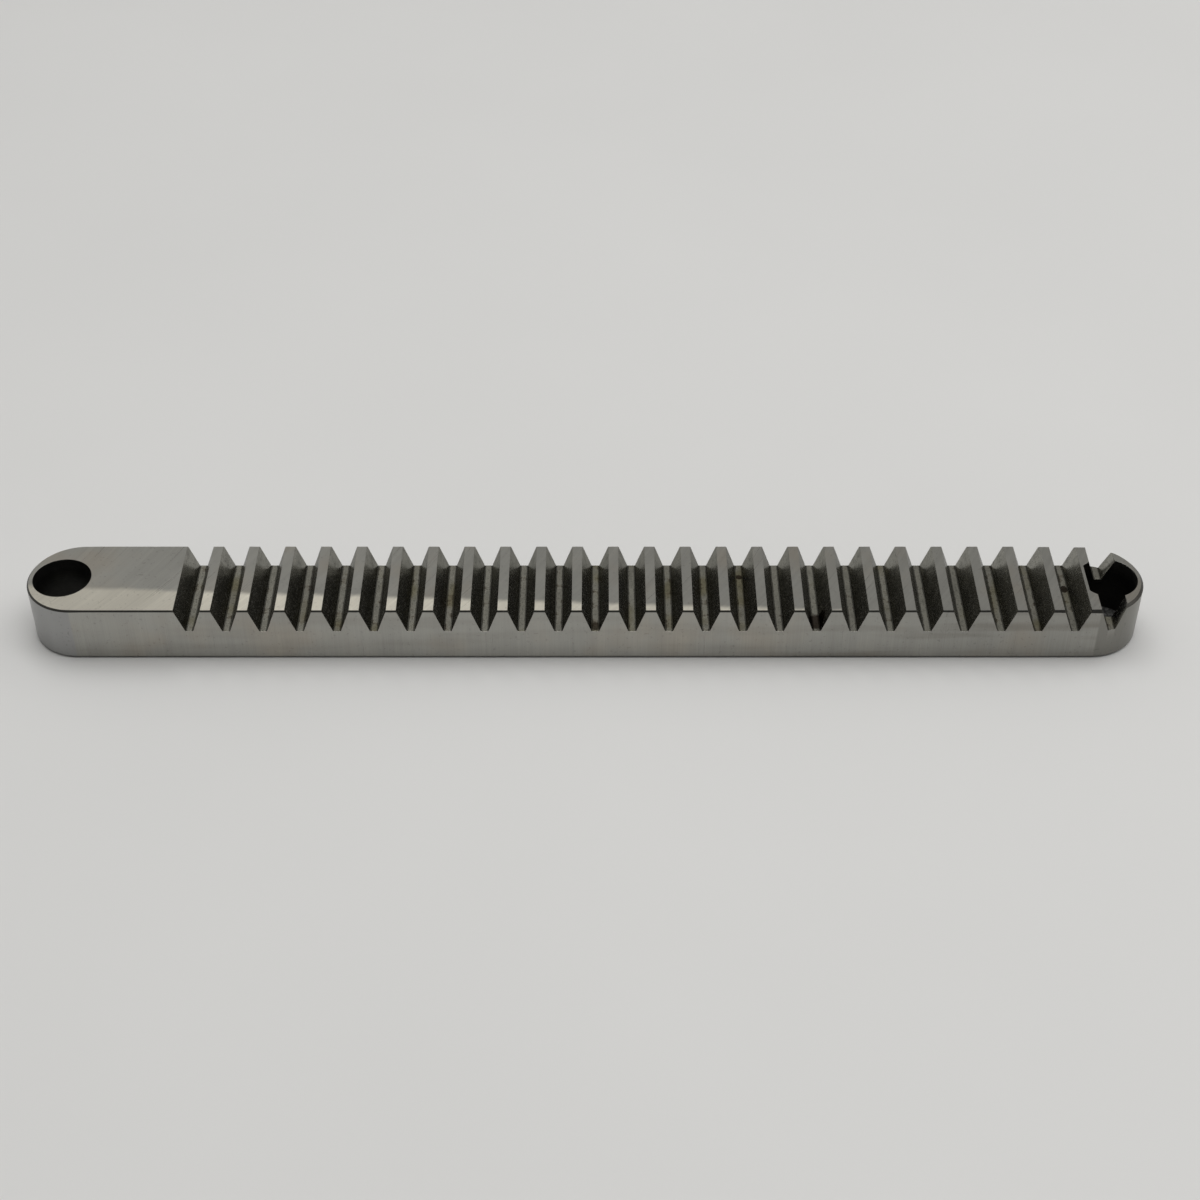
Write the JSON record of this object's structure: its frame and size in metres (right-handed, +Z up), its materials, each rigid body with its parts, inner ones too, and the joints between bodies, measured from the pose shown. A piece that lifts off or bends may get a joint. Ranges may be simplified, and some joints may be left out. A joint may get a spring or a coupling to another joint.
{
  "type": "gear rack",
  "caption": "Flat steel bar with straight rack teeth cut along one face, rounded ends and a plain hole through each end.",
  "frame": {"origin": "middle of the flat back that the bar rests on, halfway along its length and across its width", "axes": "+X along the bar towards the end whose hole breaks into the teeth, +Y across the bar along the teeth, +Z up from the flat back to the tooth tips"},
  "size_m": [0.2436, 0.0222, 0.0135],
  "materials": {
    "ground_steel": "surface ground"
  },
  "bodies": {
    "root": {"rack": "ground_steel"}
  },
  "joints": []
}
